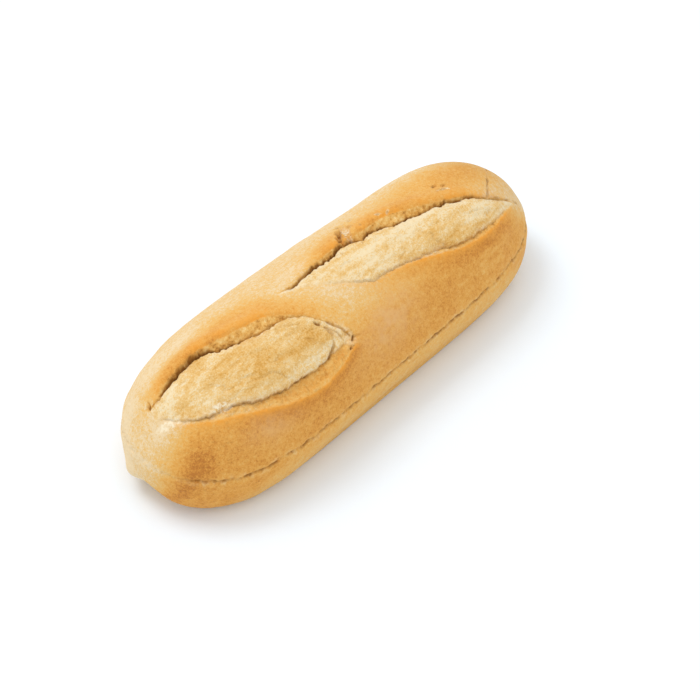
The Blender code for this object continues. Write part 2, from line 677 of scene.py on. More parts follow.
    def _dough(self, lines: SlashLines, space: np.ndarray) -> np.ndarray:
        """Rough surface of burst dough: lumps, ropes, grain and folds.

        Args:
            lines: The slash's lines.
            space: Places in space, millimetres.

        Returns:
            Height in millimetres.
        """
        grain = Grain(self.seed)
        flow = np.stack([0.45 * lines.run, lines.across, np.zeros_like(lines.run)], axis=1)
        lumps = 0.55 * grain.layered(flow, 6.0, 2)
        ropes = 0.24 * grain.layered(flow * [0.5, 1.0, 1.0] + 30.0, 2.0, 2)
        rough = 0.20 * grain.layered(space, 1.25, 2)
        fold = hump(grain.layered(flow + 90.0, 7.0, 3), 0.05)
        fold = fold * ease(0.3 + 1.8 * grain.smooth(space + 33.0, 6.0))
        return lumps + ropes + rough - 0.45 * fold

    def _lip_side(self, lines: SlashLines) -> np.ndarray:
        """Raise the lip: a rough inner face, a ridge, and the crust below it.

        Args:
            lines: The slash's lines.

        Returns:
            Height in millimetres.
        """
        face = np.clip((lines.crack - lines.across) / np.maximum(lines.crack - lines.lip, 0.3), 0.0, 1.0)
        foot = self.crack_share * lines.crack_depth
        grain = self.face_grain * lines.torn * np.sin(math.pi * face)
        inner = -foot + (lines.lip_lift + foot) * face ** 1.3
        inner = inner + grain * np.clip(lines.crack - lines.lip, 0.0, 3.0) / 3.0
        drop = np.clip(lines.lip - lines.across, 0.0, None)
        outer = lines.lip_lift * np.exp(-(drop / self.lip_width) ** 1.1)
        return np.where(lines.across > lines.lip, inner, outer)

    def _marks(self, lines: SlashLines, space: np.ndarray) -> dict[Bake, np.ndarray]:
        """Note what the oven did to each strip of the slash, and where shade or light is painted on it.

        Args:
            lines: The slash's lines.
            space: Places in space, millimetres.

        Returns:
            The marks.
        """
        across, soft = lines.across, self.soft
        between_tips = (np.abs(lines.along) < 1.0).astype(float)
        melt = through(self.melt, lines.inside)
        in_bloom = ease((lines.gap - across) / soft + 0.5) * ease((across - lines.crack) / melt + 0.5)
        in_wall = ease((lines.rim - across) / soft + 0.5) * ease((across - lines.gap) / soft + 0.5)
        in_face = ease((lines.crack - across) / soft + 0.5) * ease((across - lines.lip) / 0.9 + 0.3)
        in_face = in_face * np.clip(lines.lip_lift / 1.2, 0.0, 1.0)
        fresh = hump((lines.crack - across) / 2.3, 1.0) * ease(0.42 + 1.8 * lines.torn)
        # paler inner face of the lip and a paler band inside its ridge: partly fresh torn crust, partly
        # painted light where the face turns to the light
        lit_pale_edge = 0.14 * in_face * hump(across - lines.lip - 1.0, 0.7)
        heat = self._toast(lines) - 0.08 * in_face - lit_pale_edge
        return {
            Bake.BLOOM: in_bloom * between_tips,
            Bake.TEAR: np.maximum(in_wall, in_face * fresh) * between_tips,
            Bake.GAP: self._dark_and_painted_shade(lines, space) * between_tips,
            Bake.HEAT: heat * lines.reach,
            Bake.AMBER: self._amber(lines, space) * lines.reach,
            Bake.BLISTER: in_face * between_tips,
            Bake.FLOUR: in_bloom * between_tips * self._dusting(lines, space),
        }

    def _dark_and_painted_shade(self, lines: SlashLines, space: np.ndarray) -> np.ndarray:
        """Dark of the gap and the crack, partly their own darker crumb and partly painted shade, broken up
        by the torn crumb.

        Args:
            lines: The slash's lines.
            space: Places in space, millimetres.

        Returns:
            Values from 0 to 1.
        """
        teeth = np.clip(0.95 + 1.1 * Grain(self.seed).layered(space + 60.0, 1.3, 2), 0.4, 1.3)
        in_gap = lines.gap_depth * lines.gap_open * hump(lines.across - lines.gap - 0.15, 0.55) / 0.95
        in_crack = lines.crack_depth * lines.crack_open * hump(lines.across - lines.crack, 0.42) / 1.15
        return np.clip(np.maximum(in_gap, in_crack) * teeth, 0.0, 1.0)

    def _dusting(self, lines: SlashLines, space: np.ndarray) -> np.ndarray:
        """Flour left along both edges of the bloom, most of it at the -X end.

        Args:
            lines: The slash's lines.
            space: Places in space, millimetres.

        Returns:
            Share of flour.
        """
        far_edge = hump((lines.gap - lines.across) / 2.0, 1.0)
        near_edge = 0.7 * hump((lines.across - lines.crack - 0.5) / 1.5, 1.0)
        patchy = ease(0.55 + 1.2 * Grain(self.seed).layered(space + 21.0, 5.0, 3) - 0.25 * lines.inside)
        return self.dust * (far_edge + near_edge) * patchy

    @staticmethod
    def _toast(lines: SlashLines) -> np.ndarray:
        """Heat taken by the two raised edges; below the lip's ridge it is partly painted shade.

        Args:
            lines: The slash's lines.

        Returns:
            Heat to add.
        """
        spotty = 0.75 + 0.5 * Grain(77).along_line(lines.run, 11.0, 3)
        outside = np.clip(lines.across - lines.rim, 0.0, None)
        far = (lines.across > lines.rim - 0.3) * np.exp(-outside / 3.8)
        far = far * np.clip(lines.rim_lift / 2.2, 0.0, 1.0) * spotty
        below = lines.lip - lines.across
        # ridge: browner crust below the lip's ridge, partly painted shade where the side turns away from
        # the light
        ridge = hump(below - 2.2, 3.4) * (below > -0.3) * np.clip(lines.lip_lift / 1.6, 0.0, 1.0)
        return 0.42 * far + 0.20 * ridge

    @staticmethod
    def _amber(lines: SlashLines, space: np.ndarray) -> np.ndarray:
        """Bright amber along the two raised edges, in patches.

        Args:
            lines: The slash's lines.
            space: Places in space, millimetres.

        Returns:
            Values from 0 to 1.
        """
        patchy = ease(0.62 + 1.5 * Grain(78).layered(space, 11.0, 3))
        outside = np.clip(lines.across - lines.rim, 0.0, None)
        far = (lines.across > lines.rim - 0.3) * np.exp(-outside / 3.2)
        far = far * np.clip(lines.rim_lift / 2.0, 0.0, 1.0) * patchy
        below = lines.lip - lines.across
        ridge = np.where(below < 0.0, hump(below, 0.60), 0.65 * hump(below, 1.1) + 0.35 * hump(below, 4.2))
        ridge = ridge * np.clip(lines.lip_lift / 1.1, 0.0, 1.0) * (0.65 + 0.35 * patchy)
        return np.maximum(far, ridge)


@dataclass(frozen=True)
class Crack:
    """A thin crack through a few places (X, V) of the crust, in millimetres."""

    places: tuple[tuple[float, float], ...]
    width: float
    depth: float
    seed: int
    wander: float = 0.45             # how far it strays from its line
    darkness: float = 0.8

    def distance(self, x: np.ndarray, v: np.ndarray) -> np.ndarray:
        """Measure how far each place is from the crack's line.

        Args:
            x: Distance along the loaf, metres.
            v: Distance around the section, metres.

        Returns:
            Distance in millimetres.
        """
        nearest = np.full(len(x), np.inf)
        for (x0, v0), (x1, v1) in zip(self.places, self.places[1:]):
            dx, dv = x1 - x0, v1 - v0
            share = ((x / MM - x0) * dx + (v / MM - v0) * dv) / (dx * dx + dv * dv)
            share = np.clip(share, 0.0, 1.0)
            away = np.hypot(x / MM - x0 - share * dx, v / MM - v0 - share * dv)
            nearest = np.minimum(nearest, away)
        return nearest

    def near(self, x: np.ndarray, v: np.ndarray, margin: float) -> np.ndarray:
        """Tell which places are within a margin, in millimetres."""
        return self.distance(x, v) < margin

    def relief(self, x: np.ndarray, v: np.ndarray, points: np.ndarray) -> Relief:
        """Cut the crack, wandering a little.

        Args:
            x: Distance along the loaf, metres.
            v: Distance around the section, metres.
            points: The same places in space, metres.

        Returns:
            Height in metres and marks.
        """
        grain = Grain(self.seed)
        space = points / MM
        from_line = self.distance(x, v)
        distance = np.abs(from_line + self.wander * grain.layered(space, 3.0, 2) - 0.15)
        near = from_line < 4.0 * self.width + 1.0
        open_share = np.clip(0.65 + 0.9 * grain.layered(space + 12.0, 3.5, 2), 0.15, 1.0)
        cut = hump(distance, self.width) * near * open_share
        return Relief(-self.depth * cut * MM, {Bake.CREASE: self.darkness * cut})


@dataclass(frozen=True)
class Pit:
    """A small hole where a bubble broke, at (X, V), in millimetres."""

    x: float
    v: float
    length: float
    width: float
    yaw: float
    depth: float
    flour: float                     # share of it that is white crumb rather than dark, the dark partly painted shade
    seed: int
    raggedness: float = 0.75

    def spread(self, x: np.ndarray, v: np.ndarray) -> np.ndarray:
        """Measure how far each place is from the pit's middle.

        Args:
            x: Distance along the loaf, metres.
            v: Distance around the section, metres.

        Returns:
            Distance in units of the pit's half size.
        """
        along, across = turned(x, v, self.x, self.v, self.yaw)
        return np.hypot(along / (0.5 * self.length), across / (0.5 * self.width))

    def near(self, x: np.ndarray, v: np.ndarray, margin: float) -> np.ndarray:
        """Tell which places are within a margin, in millimetres."""
        return self.spread(x, v) < 1.0 + margin / (0.5 * self.width)

    def relief(self, x: np.ndarray, v: np.ndarray, points: np.ndarray) -> Relief:
        """Sink the pit with a ragged edge.

        Args:
            x: Distance along the loaf, metres.
            v: Distance around the section, metres.
            points: The same places in space, metres.

        Returns:
            Height in metres and marks.
        """
        grain = Grain(self.seed)
        space = points / MM
        spread = self.spread(x, v) * (1.0 + self.raggedness * grain.layered(space, 1.6, 2))
        inside = ease((1.0 - spread) / 0.45 + 0.3)
        floor = 1.0 + 0.35 * grain.layered(space + 9.0, 1.1, 2)
        return Relief(-self.depth * inside * floor * MM, {
            Bake.TEAR: inside,
            Bake.FLOUR: self.flour * inside,
            # dark of the hole: partly its own darker crumb, partly painted shade
            Bake.GAP: (1.0 - self.flour) * ease((0.8 - spread) / 0.4),
        })


@dataclass(frozen=True)
class Crease:
    """The line along the side where the lower crust meets the upper, in millimetres."""

    height: float = 21.3             # above the base in the middle
    climb: float = 0.020             # rise for each millimetre towards +X
    end_rise: float = 4.5            # extra rise towards the -X end
    end_sharpness: int = 8           # how suddenly that rise comes
    depth: float = 0.85
    width: float = 0.55
    mark_width: float = 0.58
    shoulder: float = 0.45           # swelling above and below
    shoulder_away: float = 3.0       # distance of its top from the line
    shoulder_width: float = 2.6
    faint_before: float = -92.0      # X where it starts to fade towards the -X end
    faint_over: float = 12.0
    seed: int = 61

    def level(self, x: np.ndarray, half_length: float) -> np.ndarray:
        """Find the crease's height above the base.

        Args:
            x: Distance along the loaf, metres.
            half_length: Half of the loaf's length, metres.

        Returns:
            Height in millimetres.
        """
        near_end = np.clip(-x / half_length, 0.0, 1.0) ** self.end_sharpness
        return self.height + self.climb * x / MM + self.end_rise * near_end

    def offset(self, points: np.ndarray, half_length: float) -> np.ndarray:
        """Millimetres by which each point is above the crease."""
        return points[:, 2] / MM - self.level(points[:, 0], half_length)

    def relief(self, points: np.ndarray, half_length: float) -> Relief:
        """Press the crease in, deeper in some places than in others.

        Args:
            points: Places in space, metres.
            half_length: Half of the loaf's length, metres.

        Returns:
            Height in metres and marks.
        """
        grain = Grain(self.seed)
        space = points / MM
        flat = space * [1.0, 1.0, 0.2]
        wander = 0.9 * grain.layered(flat, 14.0, 2) + 0.85 * grain.layered(flat + 20.0, 3.0, 3)
        offset = self.offset(points, half_length) + wander
        strength = np.clip(0.90 + 1.25 * grain.layered(flat + 80.0, 5.0, 3), 0.12, 1.1)
        strength = strength * ease(1.0 + (space[:, 0] - self.faint_before) / self.faint_over)
        groove = hump(offset, self.width) * strength
        above = hump(offset - self.shoulder_away, self.shoulder_width)
        below = hump(offset + self.shoulder_away, self.shoulder_width)
        flakes = 0.50 * grain.layered(space + 15.0, 1.3, 2) * hump(offset, 1.3)
        height = self.shoulder * (above + 0.8 * below) + flakes - self.depth * groove
        side = 0.8 * np.sign(grain.smooth(flat + 130.0, 9.0))
        crumbs = hump(offset - side, 1.15) * ease(0.5 + 2.0 * grain.layered(space + 45.0, 1.8, 2))
        crumbs = crumbs * strength
        dotted = np.clip(0.75 + 1.3 * grain.layered(space + 160.0, 1.5, 2), 0.15, 1.2)
        return Relief(height * MM, {
            Bake.CREASE: hump(offset, self.mark_width) * strength * dotted,
            Bake.TEAR: 0.85 * crumbs,
            Bake.FLOUR: 0.18 * crumbs,
            Bake.HEAT: -0.14 * hump(offset, 1.8),
        })


@dataclass(frozen=True)
class Patch:
    """A soft area of the crust that baked differently or carries painted shade, at (X, V), in millimetres.
    """

    bake: Bake
    x: float
    v: float
    length: float
    width: float
    strength: float
    yaw: float = 0.0

    def share(self, x: np.ndarray, v: np.ndarray, ragged: np.ndarray) -> np.ndarray:
        """Strength at each place.

        Args:
            x: Distance along the loaf, metres.
            v: Distance around the section, metres.
            ragged: Noise that breaks up the outline.

        Returns:
            Values from 0 to the patch's strength.
        """
        along, across = turned(x, v, self.x, self.v, self.yaw)
        spread = (along / (0.5 * self.length)) ** 2 + (across / (0.5 * self.width)) ** 2
        spread = spread * (1.0 + 0.5 * ragged)
        if self.bake is Bake.FLOUR:
            return self.strength * ease(1.5 - 0.9 * spread)
        return self.strength * np.exp(-spread)


@dataclass(frozen=True)
class Swelling:
    """A low lump or hollow at a point in space, in millimetres."""

    centre: tuple[float, float, float]
    radius: float
    height: float
    stretch: float = 1.0             # how many times longer it is along the loaf

    def lift(self, points: np.ndarray) -> np.ndarray:
        """Raise or sink the places around the point.

        Args:
            points: Places in space, metres.

        Returns:
            Height in metres.
        """
        away = (points / MM - np.array(self.centre)) / [self.stretch, 1.0, 1.0]
        distance = np.linalg.norm(away, axis=1)
        return self.height * hump(distance, self.radius) * MM


FRONT_SLASH = Slash(
    x=-55.75, v=-13.0, half_length=41.5, yaw=-21.2, seed=11,
    rim=(4.6, 8.0, 10.5, 12.6, 13.2, 14.0, 15.8, 15.5, 12.2, 7.9, 2.8),
    gap=(3.8, 6.0, 8.2, 11.0, 9.8, 10.5, 11.5, 13.0, 11.6, 7.4, 2.3),
    crack=(-1.0, -8.3, -11.4, -12.5, -13.6, -14.1, -13.1, -10.9, -8.2, -3.2, 0.0),
    lip=(-2.0, -10.0, -13.8, -16.2, -17.6, -18.4, -18.5, -17.5, -14.6, -9.9, -3.4),
    rim_lift=(0.0, 1.5, 2.6, 3.0, 3.0, 2.9, 2.4, 1.4, 0.7, 0.3, 0.0),
    gap_depth=(0.0, 2.2, 3.2, 2.7, 2.0, 1.4, 0.9, 0.5, 0.3, 0.1, 0.0),
    crown=(0.0, 0.8, 1.5, 2.0, 2.3, 2.5, 2.5, 2.1, 1.5, 0.8, 0.0),
    crack_depth=(0.4, 0.5, 0.6, 0.8, 0.9, 1.0, 1.1, 1.1, 0.8, 0.2, 0.0),
    lip_lift=(0.0, 0.5, 0.9, 1.4, 1.8, 2.1, 2.4, 2.5, 2.4, 2.1, 1.0),
    melt=(1.5, 1.2, 0.6, 0.4, 0.3, 0.3, 0.3, 0.3, 0.4, 1.2, 2.0),
)
BACK_SLASH = Slash(
    x=29.5, v=-8.5, half_length=57.9, yaw=-12.5, seed=23,
    rim=(0.3, 2.0, 5.2, 8.0, 9.3, 10.5, 9.3, 7.3, 5.8, 2.6, 1.0),
    gap=(0.0, 0.9, 4.0, 7.0, 6.2, 6.8, 7.0, 5.6, 4.8, 2.0, 0.5),
    crack=(-0.5, -2.4, -8.0, -12.2, -11.4, -11.2, -11.6, -11.8, -10.0, -5.6, -0.5),
    lip=(-1.2, -3.2, -9.0, -13.4, -12.6, -12.6, -13.6, -14.0, -12.0, -7.0, -1.2),
    rim_lift=(0.0, 0.8, 1.8, 2.4, 2.6, 2.8, 2.6, 2.3, 1.9, 0.9, 0.0),
    gap_depth=(0.0, 1.5, 2.4, 2.3, 2.1, 1.9, 1.9, 1.7, 1.2, 0.5, 0.0),
    crown=(0.0, 0.6, 1.2, 1.6, 1.8, 2.0, 2.0, 1.8, 1.4, 0.8, 0.0),
    crack_depth=(0.0, 0.0, 0.0, 0.1, 0.15, 0.2, 0.35, 0.4, 0.25, 0.1, 0.0),
    lip_lift=(0.0, 0.0, 0.2, 0.4, 0.8, 1.3, 1.7, 1.9, 1.8, 1.1, 0.0),
    melt=(3.0, 4.0, 3.0, 1.2, 0.5, 0.4, 0.4, 0.4, 0.5, 0.8, 1.5),
)
CRACKS = (
    Crack(places=((93.0, 0.5), (84.0, -7.0), (78.8, -11.2), (74.0, -15.0)),
          width=0.26, depth=0.45, seed=31),
    Crack(places=((74.0, -15.0), (80.9, -18.3), (90.0, -20.5)), width=0.30, depth=0.5, seed=32),
    Crack(places=((-31.5, -28.8), (-27.2, -26.4), (-25.0, -22.8), (-25.6, -19.6)),
          width=0.4, depth=0.9, seed=33),
    Crack(places=((-48.5, -4.6), (-44.5, -5.6), (-40.0, -5.6)), width=0.35, depth=0.6, seed=34),
    Crack(places=((-23.6, -17.6), (-19.9, -22.5), (-18.6, -27.0)), width=0.26, depth=0.30, seed=35),
    Crack(places=((-25.6, -19.0), (-22.6, -23.5), (-21.8, -29.0)), width=0.26, depth=0.30, seed=36),
    Crack(places=((-17.4, -28.0), (-14.6, -28.9)), width=0.26, depth=0.40, seed=37),
)
PITS = (
    Pit(x=15.6, v=8.4, length=12.0, width=5.0, yaw=50.0, depth=1.7, flour=0.85, seed=41),
    Pit(x=13.0, v=9.6, length=11.0, width=2.6, yaw=52.0, depth=2.6, flour=0.0, seed=42),
    Pit(x=60.2, v=1.6, length=2.8, width=1.8, yaw=0.0, depth=1.0, flour=0.1, seed=43),
    Pit(x=63.8, v=-0.6, length=2.6, width=1.9, yaw=0.0, depth=1.0, flour=0.1, seed=44),
    Pit(x=61.2, v=-2.6, length=4.6, width=2.0, yaw=-20.0, depth=0.5, flour=0.6, seed=45),
    Pit(x=30.0, v=4.4, length=3.6, width=1.8, yaw=-30.0, depth=0.35, flour=0.5, seed=47),
    Pit(x=34.0, v=2.8, length=3.0, width=1.5, yaw=20.0, depth=0.35, flour=0.5, seed=48),
    Pit(x=-27.1, v=-16.3, length=3.4, width=1.3, yaw=-62.0, depth=0.8, flour=0.0, seed=46),
    Pit(x=-18.1, v=-28.8, length=2.4, width=1.1, yaw=40.0, depth=0.9, flour=0.0, seed=49),
    Pit(x=-21.6, v=-31.0, length=2.4, width=1.2, yaw=10.0, depth=0.7, flour=0.1, seed=50),
    Pit(x=-92.4, v=6.9, length=2.8, width=1.3, yaw=60.0, depth=0.8, flour=0.0, seed=51),
)
PATCHES = (
    Patch(Bake.HEAT, x=-101.0, v=13.0, length=30.0, width=34.0, strength=-0.24),
    Patch(Bake.HEAT, x=-95.0, v=-22.0, length=20.0, width=20.0, strength=0.56),
    Patch(Bake.HEAT, x=-56.0, v=-13.0, length=46.0, width=14.0, yaw=-21.0, strength=0.30),
    Patch(Bake.HEAT, x=-60.0, v=-34.0, length=40.0, width=8.0, yaw=-21.0, strength=0.02),
    Patch(Bake.HEAT, x=-104.0, v=-34.0, length=16.0, width=12.0, strength=-0.16),
    Patch(Bake.HEAT, x=-80.0, v=8.5, length=32.0, width=9.0, strength=0.26),
    Patch(Bake.HEAT, x=-48.0, v=8.0, length=24.0, width=12.0, yaw=-10.0, strength=0.26),
    Patch(Bake.HEAT, x=-33.0, v=2.0, length=16.0, width=10.0, yaw=-30.0, strength=0.20),
    Patch(Bake.HEAT, x=-26.0, v=-8.0, length=22.0, width=9.0, yaw=-30.0, strength=0.14),
    Patch(Bake.HEAT, x=-24.0, v=6.0, length=20.0, width=16.0, strength=-0.16),
    Patch(Bake.HEAT, x=4.0, v=8.0, length=18.0, width=8.0, yaw=15.0, strength=0.22),
    Patch(Bake.HEAT, x=28.0, v=5.0, length=16.0, width=9.0, yaw=-10.0, strength=0.18),
    Patch(Bake.HEAT, x=44.0, v=3.0, length=22.0, width=12.0, yaw=-10.0, strength=0.22),
    Patch(Bake.HEAT, x=72.0, v=0.0, length=34.0, width=16.0, yaw=-10.0, strength=0.20),
    Patch(Bake.HEAT, x=56.0, v=-13.0, length=56.0, width=10.0, yaw=-12.0, strength=-0.30),
    Patch(Bake.HEAT, x=34.0, v=-18.5, length=30.0, width=6.0, yaw=-12.0, strength=-0.34),
    Patch(Bake.HEAT, x=20.0, v=-21.0, length=20.0, width=5.0, yaw=-8.0, strength=0.16),
    Patch(Bake.HEAT, x=60.0, v=-27.0, length=40.0, width=6.0, yaw=-4.0, strength=0.10),
    Patch(Bake.HEAT, x=-9.0, v=-10.0, length=28.0, width=12.0, yaw=-20.0, strength=-0.18),
    Patch(Bake.HEAT, x=98.0, v=-32.0, length=26.0, width=50.0, strength=-0.20),
    Patch(Bake.HEAT, x=-88.0, v=-4.0, length=20.0, width=14.0, yaw=-20.0, strength=-0.40),
    Patch(Bake.HEAT, x=8.0, v=-5.0, length=28.0, width=12.0, yaw=-10.0, strength=-0.36),
    Patch(Bake.BLISTER, x=-88.0, v=-28.0, length=34.0, width=30.0, yaw=-20.0, strength=1.0),
    Patch(Bake.BLISTER, x=30.0, v=3.0, length=20.0, width=10.0, yaw=-10.0, strength=0.8),
    Patch(Bake.BLISTER, x=-94.0, v=14.0, length=16.0, width=24.0, strength=0.5),
    Patch(Bake.BLUSH, x=0.0, v=-32.0, length=30.0, width=18.0, yaw=20.0, strength=0.85),
    Patch(Bake.BLUSH, x=-66.0, v=-34.0, length=20.0, width=11.0, yaw=-20.0, strength=0.6),
    Patch(Bake.HEAT, x=76.0, v=4.0, length=50.0, width=16.0, yaw=-10.0, strength=0.14),
    Patch(Bake.HEAT, x=-68.0, v=17.0, length=24.0, width=12.0, strength=-0.16),
    Patch(Bake.HEAT, x=-12.0, v=8.0, length=16.0, width=10.0, strength=-0.22),
    # painted shade: dulls and darkens the +X end, which lies in shade
    Patch(Bake.GAP, x=96.0, v=6.0, length=42.0, width=50.0, strength=0.23),
    Patch(Bake.FLOUR, x=-21.0, v=-24.0, length=13.0, width=6.0, yaw=-65.0, strength=0.35),
    Patch(Bake.FLOUR, x=-93.6, v=-4.4, length=9.0, width=3.0, yaw=-42.0, strength=0.78),
    Patch(Bake.FLOUR, x=-77.5, v=-16.8, length=7.5, width=3.0, yaw=-30.0, strength=1.00),
)
SWELLINGS = (
    Swelling(centre=(-102.5, 10.0, 10.0), radius=4.5, height=1.8),
    Swelling(centre=(-104.0, 1.0, 5.0), radius=9.0, height=-1.9),
    Swelling(centre=(-104.0, 4.0, 22.0), radius=24.0, height=-1.5),
    Swelling(centre=(4.0, -33.5, 5.0), radius=10.5, height=-2.9, stretch=7.0),
    Swelling(centre=(42.0, 30.0, 36.0), radius=15.0, height=-1.5, stretch=1.8),
)


@dataclass
class Crust:
    """The loaf's crust: one closed piece."""

    form: LoafForm
    slashes: tuple[Slash, ...] = (FRONT_SLASH, BACK_SLASH)
    cracks: tuple[Crack, ...] = CRACKS
    pits: tuple[Pit, ...] = PITS
    patches: tuple[Patch, ...] = PATCHES
    swellings: tuple[Swelling, ...] = SWELLINGS
    crease: Crease = Crease()
    segments: int = 120              # points around the ball
    rings: int = 192                 # rings from end to end
    unevenness: float = 0.55         # hand-shaped unevenness, millimetres
    skin_grain: float = 0.07         # roughness of the whole crust, millimetres
    base_margin: float = 2.0         # height over which the relief fades to the base
    seed: int = 5

    def build(self) -> bpy.types.Object:
        """Model the crust.

        Returns:
            The finished piece, without its finish.
        """
        chart = self.form.chart()
        piece = self._ball()
        self._refine(piece, chart, margin=5.0, line_margin=2.6)
        self._refine(piece, chart, margin=1.8, line_margin=1.1)
        self._shape(piece, chart)
        return piece

    def _ball(self) -> bpy.types.Object:
        """Add a ball whose poles are the ends of the loaf.

        Returns:
            The ball.
        """
        bpy.ops.object.select_all(action="DESELECT")
        bpy.ops.mesh.primitive_uv_sphere_add(segments=self.segments, ring_count=self.rings,
                                             radius=1.0, rotation=(0.0, 0.5 * math.pi, 0.0))
        bpy.ops.object.transform_apply(location=True, rotation=True, scale=True)
        piece = bpy.context.object
        piece.name = "baked_crust"
        piece.data.name = "baked_crust"
        return piece

    def _refine(self, piece: bpy.types.Object, chart: np.ndarray,
                margin: float, line_margin: float) -> None:
        """Subdivide the faces in and near the torn parts.

        Args:
            piece: The ball.
            chart: The loaf's chart.
            margin: Margin around the slashes, millimetres.
            line_margin: Margin around cracks, pits and the crease, millimetres.
        """
        mesh = piece.data
        centres = np.zeros(len(mesh.polygons) * 3)
        mesh.polygons.foreach_get("center", centres)
        points, v = self.form.carry(chart, centres.reshape(-1, 3))
        x = points[:, 0]
        chosen = np.abs(self.crease.offset(points, 0.5 * self.form.length)) < line_margin + 0.6
        for slash in self.slashes:
            chosen |= slash.near(x, v, margin)
        for mark in (*self.cracks, *self.pits):
            chosen |= mark.near(x, v, line_margin)
        bpy.context.tool_settings.mesh_select_mode = (False, False, True)
        for parts in (mesh.vertices, mesh.edges):
            parts.foreach_set("select", np.zeros(len(parts), dtype=bool))
        mesh.polygons.foreach_set("select", chosen)
        bpy.ops.object.mode_set(mode="EDIT")
        bpy.ops.mesh.subdivide(number_cuts=1, ngon=False)
        bpy.ops.object.mode_set(mode="OBJECT")

    def _shape(self, piece: bpy.types.Object, chart: np.ndarray) -> None:
        """Carry the ball to the loaf, sculpt it and keep what the oven did and the painted shade and light.

        Args:
            piece: The refined ball.
            chart: The loaf's chart.
        """
        mesh = piece.data
        ball = np.zeros(len(mesh.vertices) * 3)
        mesh.vertices.foreach_get("co", ball)
        points, v = self.form.carry(chart, ball.reshape(-1, 3))
        mesh.vertices.foreach_set("co", points.ravel())
        mesh.update()
        normals = np.zeros(len(mesh.vertices) * 3)
        mesh.vertex_normals.foreach_get("vector", normals)
        normals = normals.reshape(-1, 3)
        relief = self._relief(points, v)
        off_base = ease(points[:, 2] / (self.base_margin * MM))
        points = points + normals * (relief.height * off_base)[:, None]
        points[:, 2] = np.maximum(points[:, 2], 0.0)
        mesh.vertices.foreach_set("co", points.ravel())
        for bake, share in relief.masks.items():
            layer = mesh.attributes.new(bake.value, "FLOAT", "POINT")
            layer.data.foreach_set("value", share.astype(np.float32))
        bpy.ops.object.shade_smooth()
        mesh.update()

    def _relief(self, points: np.ndarray, v: np.ndarray) -> Relief:
        """Collect everything that raises, sinks or marks the crust.

        Args:
            points: Places in space, metres.
            v: Distance around the section, metres.

        Returns:
            Height in metres and marks.
        """
        x = points[:, 0]
        space = points / MM
        grain = Grain(self.seed)
        total = Relief.flat(len(points))
        for mark in (*self.slashes, *self.cracks, *self.pits):
            total.add(mark.relief(x, v, points))
        unburst = 1.0 - np.maximum(total.masks[Bake.BLOOM], total.masks[Bake.TEAR])
        total.add(self.crease.relief(points, 0.5 * self.form.length))
        for swelling in self.swellings:
            total.height += swelling.lift(points)
        wavy = grain.layered(space, 42.0, 2) + 0.45 * grain.layered(space + 7.0, 13.0, 2)
        skin = self.skin_grain * grain.layered(space, 3.0, 2)
        total.height += (self.unevenness * wavy + skin * unburst) * MM
        total.mark(Bake.HEAT, self._heat_and_side_shading(points, v))
        ragged = grain.layered(space + 50.0, 9.0, 3)
        for patch in self.patches:
            keep = 1.0 if patch.bake in (Bake.FLOUR, Bake.GAP, Bake.HEAT) else unburst
            total.mark(patch.bake, patch.share(x, v, ragged) * keep)
        return total

    def _heat_and_side_shading(self, points: np.ndarray, v: np.ndarray) -> np.ndarray:
        """Browning over the whole loaf, with painted shade and light on its sides.

        The near side is darker, partly its own browner crust and partly painted shade, and the far side
        lighter, partly paler crust and partly painted light.

        Args:
            points: Places in space, metres.
            v: Distance around the section, metres.

        Returns:
            Heat from 0 to 1.
        """
        along = points[:, 0] / MM
        around = v / MM
        near = ease((-around - 17.0) / 16.0)
        far = ease((around - 8.0) / 14.0)
        low_far = ease((around - 25.0) / 24.0)
        foot = ease((-around - 47.0 + 0.05 * points[:, 0] / MM) / 10.0)
        stretched = np.stack([points[:, 0] / 24.0, points[:, 1], points[:, 2]], axis=1) / MM
        streaks = hump(Grain(91).layered(stretched, 4.0, 2), 0.08)
        streaks = streaks * hump(np.hypot((along - 56.0) / 24.0, (around + 36.0) / 8.0), 1.0)
        # near: darker near side, partly painted shade; far: lighter far side, partly painted light
        return 0.30 + 0.38 * near - 0.17 * far + 0.26 * low_far - 0.20 * streaks - 0.26 * foot


@dataclass(frozen=True)
class Palette:
    """Colours of the loaf, as linear red, green and blue, from light to dark where they vary."""

    crust: Stops = (
        (0.00, (0.78, 0.60, 0.36)),
        (0.13, (0.75, 0.53, 0.265)),
        (0.27, (0.75, 0.47, 0.165)),
        (0.46, (0.75, 0.41, 0.105)),
        (0.68, (0.70, 0.330, 0.066)),
        (0.86, (0.60, 0.250, 0.045)),
        (1.00, (0.48, 0.180, 0.032)),
    )
    dough: Stops = (
        (0.00, (0.83, 0.68, 0.43)),
        (0.35, (0.78, 0.53, 0.225)),
        (0.70, (0.705, 0.405, 0.115)),
        (1.00, (0.60, 0.30, 0.062)),
    )
    tear: Stops = (          # from dark to light
        (0.32, (0.40, 0.17, 0.035)),
        (0.45, (0.70, 0.36, 0.085)),
        (0.58, (0.80, 0.50, 0.165)),
        (0.74, (0.87, 0.66, 0.34)),
    )
    amber: Colour = (0.80, 0.33, 0.042)
    blush: Colour = (0.73, 0.42, 0.17)
    flour: Colour = (0.90, 0.79, 0.58)
    # dark of gaps, cracks and pits, partly their own colour and partly painted shade; also painted shade
    # over the +X end
    gap: Colour = (0.30, 0.125, 0.022)
    crease: Colour = (0.30, 0.115, 0.020)


